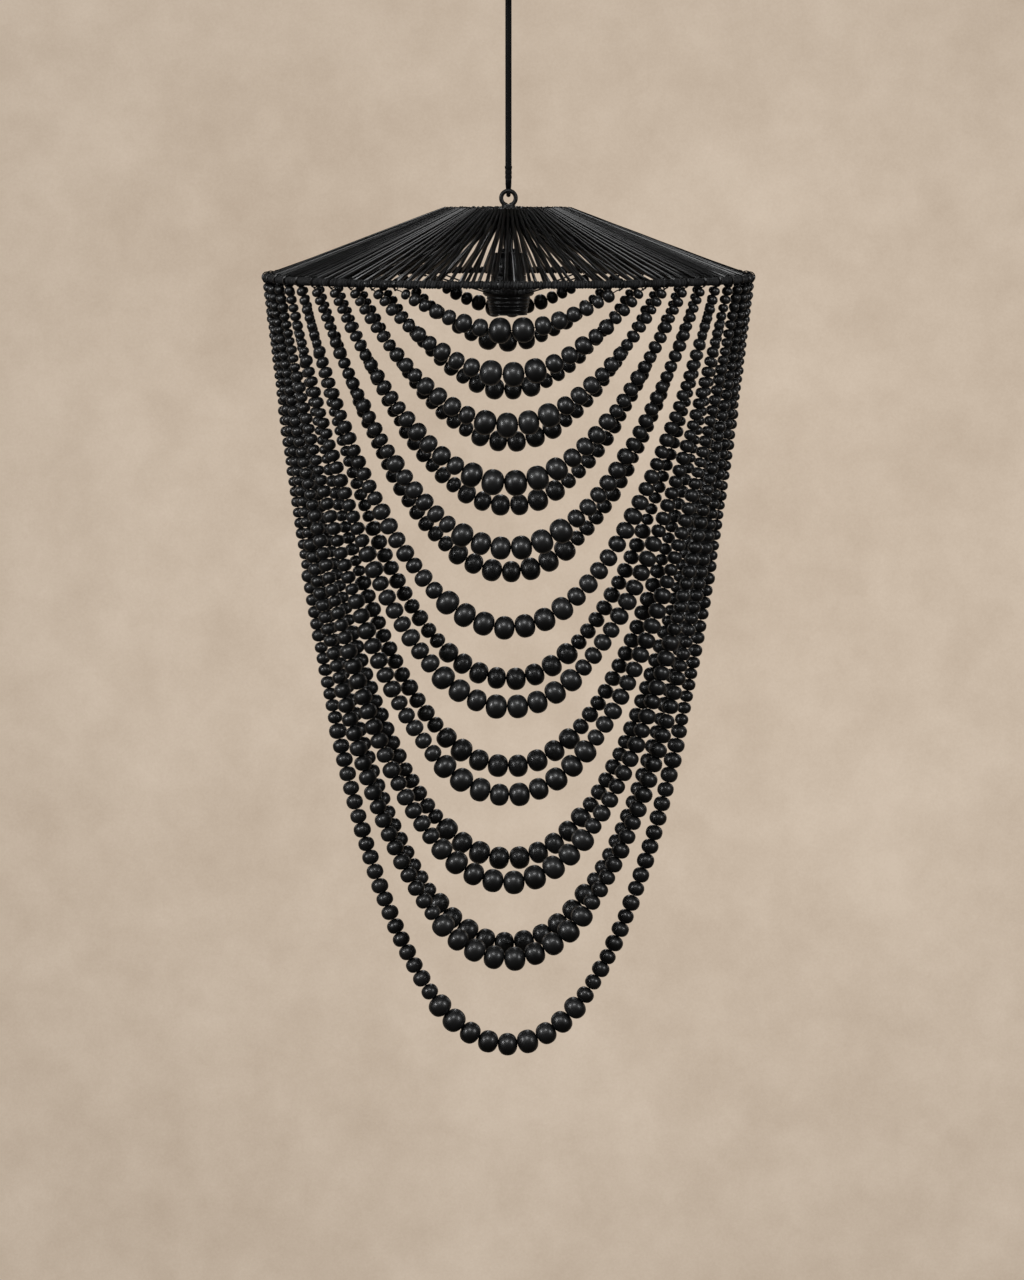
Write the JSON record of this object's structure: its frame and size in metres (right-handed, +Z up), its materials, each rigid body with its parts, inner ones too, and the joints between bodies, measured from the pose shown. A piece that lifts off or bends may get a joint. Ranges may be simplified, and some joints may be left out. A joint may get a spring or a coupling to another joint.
{
  "type": "beaded chandelier",
  "caption": "Pendant lamp with a wide wound-cord cone shade on a wire frame, hung from a taut cord, with graded wooden bead strands swagged below its rim.",
  "frame": {"origin": "centre of the ceiling plate's top face, which lies on the ceiling", "axes": "+Z up, -Y to the front, which the picture shows, +X to its right"},
  "size_m": [0.4996, 0.4996, 1.137],
  "materials": {
    "bead": "black stained turned wood, satin",
    "winding": "black paper-fibre cord, matt",
    "wire": "black powder coat, satin",
    "holder": "black thermoplastic, satin",
    "brass": "pressed brass, satin",
    "ceramic": "white glazed ceramic",
    "core": "black core insulation",
    "cord": "black braided textile cable",
    "canopy": "black powder coat, matt",
    "steel": "zinc-plated steel"
  },
  "bodies": {
    "ceiling": {"ceiling_plate": "steel", "canopy_cup": "canopy", "canopy_screw_left": "steel", "canopy_screw_right": "steel", "cord_grip": "holder", "terminal_block": "ceramic", "core_front": "core", "core_back": "core"},
    "cord": {"pendant_cord": "cord"},
    "hook": {"cord_sleeve": "wire", "cord_hook": "wire"},
    "lamp": {"eye_loop": "wire", "eye_base": "wire", "top_spider": "wire", "top_ring": "wire", "rim_ring": "winding", "frame_strut_1": "wire", "holder_stay_1": "wire", "frame_strut_2": "wire", "holder_stay_2": "wire", "frame_strut_3": "wire", "holder_stay_3": "wire", "frame_strut_4": "wire", "holder_stay_4": "wire", "wound_shade": "winding", "stem_tube": "wire", "hub_nut": "wire", "cap_nut": "wire", "holder_cap": "holder", "holder_skirt": "holder", "holder_flange": "holder", "holder_insert": "ceramic", "screw_shell": "brass", "centre_contact": "brass"},
    "strand_front_01": {"strand_front_01": "bead"},
    "strand_front_02": {"strand_front_02": "bead"},
    "strand_front_03": {"strand_front_03": "bead"},
    "strand_front_04": {"strand_front_04": "bead"},
    "strand_front_05": {"strand_front_05": "bead"},
    "strand_front_06": {"strand_front_06": "bead"},
    "strand_front_07": {"strand_front_07": "bead"},
    "strand_front_08": {"strand_front_08": "bead"},
    "strand_front_09": {"strand_front_09": "bead"},
    "strand_front_10": {"strand_front_10": "bead"},
    "strand_back_01": {"strand_back_01": "bead"},
    "strand_back_02": {"strand_back_02": "bead"},
    "strand_back_03": {"strand_back_03": "bead"},
    "strand_back_04": {"strand_back_04": "bead"},
    "strand_back_05": {"strand_back_05": "bead"},
    "strand_back_06": {"strand_back_06": "bead"},
    "strand_back_07": {"strand_back_07": "bead"},
    "strand_back_08": {"strand_back_08": "bead"},
    "strand_back_09": {"strand_back_09": "bead"},
    "strand_back_10": {"strand_back_10": "bead"},
    "strand_centre": {"strand_centre": "bead"}
  },
  "joints": [
    {"name": "cord_swing", "type": "hinge", "parent": "ceiling", "child": "cord", "pos_m": [0, 0, -0.04098], "axis": [1, 0, 0], "range_deg": [-15, 15]},
    {"name": "lamp_turn", "type": "hinge", "parent": "cord", "child": "hook", "pos_m": [0, 0, -0.216], "axis": [0, 0, 1], "range_deg": [-180, 180]},
    {"name": "lamp_swing", "type": "hinge", "parent": "hook", "child": "lamp", "pos_m": [0, 0, -0.2449], "axis": [0, 1, 0], "range_deg": [-15, 15]},
    {"name": "strand_front_01_swing", "type": "hinge", "parent": "lamp", "child": "strand_front_01", "pos_m": [0, -0.2209, -0.328], "axis": [1, 0, 0], "range_deg": [-20, 20]},
    {"name": "strand_front_02_swing", "type": "hinge", "parent": "lamp", "child": "strand_front_02", "pos_m": [0, -0.2082, -0.328], "axis": [1, 0, 0], "range_deg": [-20, 20]},
    {"name": "strand_front_03_swing", "type": "hinge", "parent": "lamp", "child": "strand_front_03", "pos_m": [0, -0.19314, -0.328], "axis": [1, 0, 0], "range_deg": [-20, 20]},
    {"name": "strand_front_04_swing", "type": "hinge", "parent": "lamp", "child": "strand_front_04", "pos_m": [0, -0.1759, -0.328], "axis": [1, 0, 0], "range_deg": [-20, 20]},
    {"name": "strand_front_05_swing", "type": "hinge", "parent": "lamp", "child": "strand_front_05", "pos_m": [0, -0.15666, -0.328], "axis": [1, 0, 0], "range_deg": [-20, 20]},
    {"name": "strand_front_06_swing", "type": "hinge", "parent": "lamp", "child": "strand_front_06", "pos_m": [0, -0.13565, -0.328], "axis": [1, 0, 0], "range_deg": [-20, 20]},
    {"name": "strand_front_07_swing", "type": "hinge", "parent": "lamp", "child": "strand_front_07", "pos_m": [0, -0.11311, -0.328], "axis": [1, 0, 0], "range_deg": [-20, 20]},
    {"name": "strand_front_08_swing", "type": "hinge", "parent": "lamp", "child": "strand_front_08", "pos_m": [0, -0.08928, -0.328], "axis": [1, 0, 0], "range_deg": [-14, 8]},
    {"name": "strand_front_09_swing", "type": "hinge", "parent": "lamp", "child": "strand_front_09", "pos_m": [0, -0.06444, -0.328], "axis": [1, 0, 0], "range_deg": [-7, 2.75]},
    {"name": "strand_front_10_swing", "type": "hinge", "parent": "lamp", "child": "strand_front_10", "pos_m": [0, -0.03887, -0.328], "axis": [1, 0, 0], "range_deg": [-2.5, 3.25]},
    {"name": "strand_back_01_swing", "type": "hinge", "parent": "lamp", "child": "strand_back_01", "pos_m": [0, 0.22867, -0.328], "axis": [1, 0, 0], "range_deg": [-20, 20]},
    {"name": "strand_back_02_swing", "type": "hinge", "parent": "lamp", "child": "strand_back_02", "pos_m": [0, 0.2164, -0.328], "axis": [1, 0, 0], "range_deg": [-20, 20]},
    {"name": "strand_back_03_swing", "type": "hinge", "parent": "lamp", "child": "strand_back_03", "pos_m": [0, 0.20108, -0.328], "axis": [1, 0, 0], "range_deg": [-20, 20]},
    {"name": "strand_back_04_swing", "type": "hinge", "parent": "lamp", "child": "strand_back_04", "pos_m": [0, 0.18293, -0.328], "axis": [1, 0, 0], "range_deg": [-20, 20]},
    {"name": "strand_back_05_swing", "type": "hinge", "parent": "lamp", "child": "strand_back_05", "pos_m": [0, 0.16221, -0.328], "axis": [1, 0, 0], "range_deg": [-20, 20]},
    {"name": "strand_back_06_swing", "type": "hinge", "parent": "lamp", "child": "strand_back_06", "pos_m": [0, 0.13921, -0.328], "axis": [1, 0, 0], "range_deg": [-20, 20]},
    {"name": "strand_back_07_swing", "type": "hinge", "parent": "lamp", "child": "strand_back_07", "pos_m": [0, 0.11425, -0.328], "axis": [1, 0, 0], "range_deg": [-20, 20]},
    {"name": "strand_back_08_swing", "type": "hinge", "parent": "lamp", "child": "strand_back_08", "pos_m": [0, 0.08768, -0.328], "axis": [1, 0, 0], "range_deg": [-10.5, 20]},
    {"name": "strand_back_09_swing", "type": "hinge", "parent": "lamp", "child": "strand_back_09", "pos_m": [0, 0.05987, -0.328], "axis": [1, 0, 0], "range_deg": [-3.5, 8]},
    {"name": "strand_back_10_swing", "type": "hinge", "parent": "lamp", "child": "strand_back_10", "pos_m": [0, 0.03123, -0.328], "axis": [1, 0, 0], "range_deg": [-2.75, 3.25]},
    {"name": "strand_centre_swing", "type": "hinge", "parent": "lamp", "child": "strand_centre", "pos_m": [0, 0, -0.328], "axis": [1, 0, 0], "range_deg": [-3, 2.75]}
  ]
}
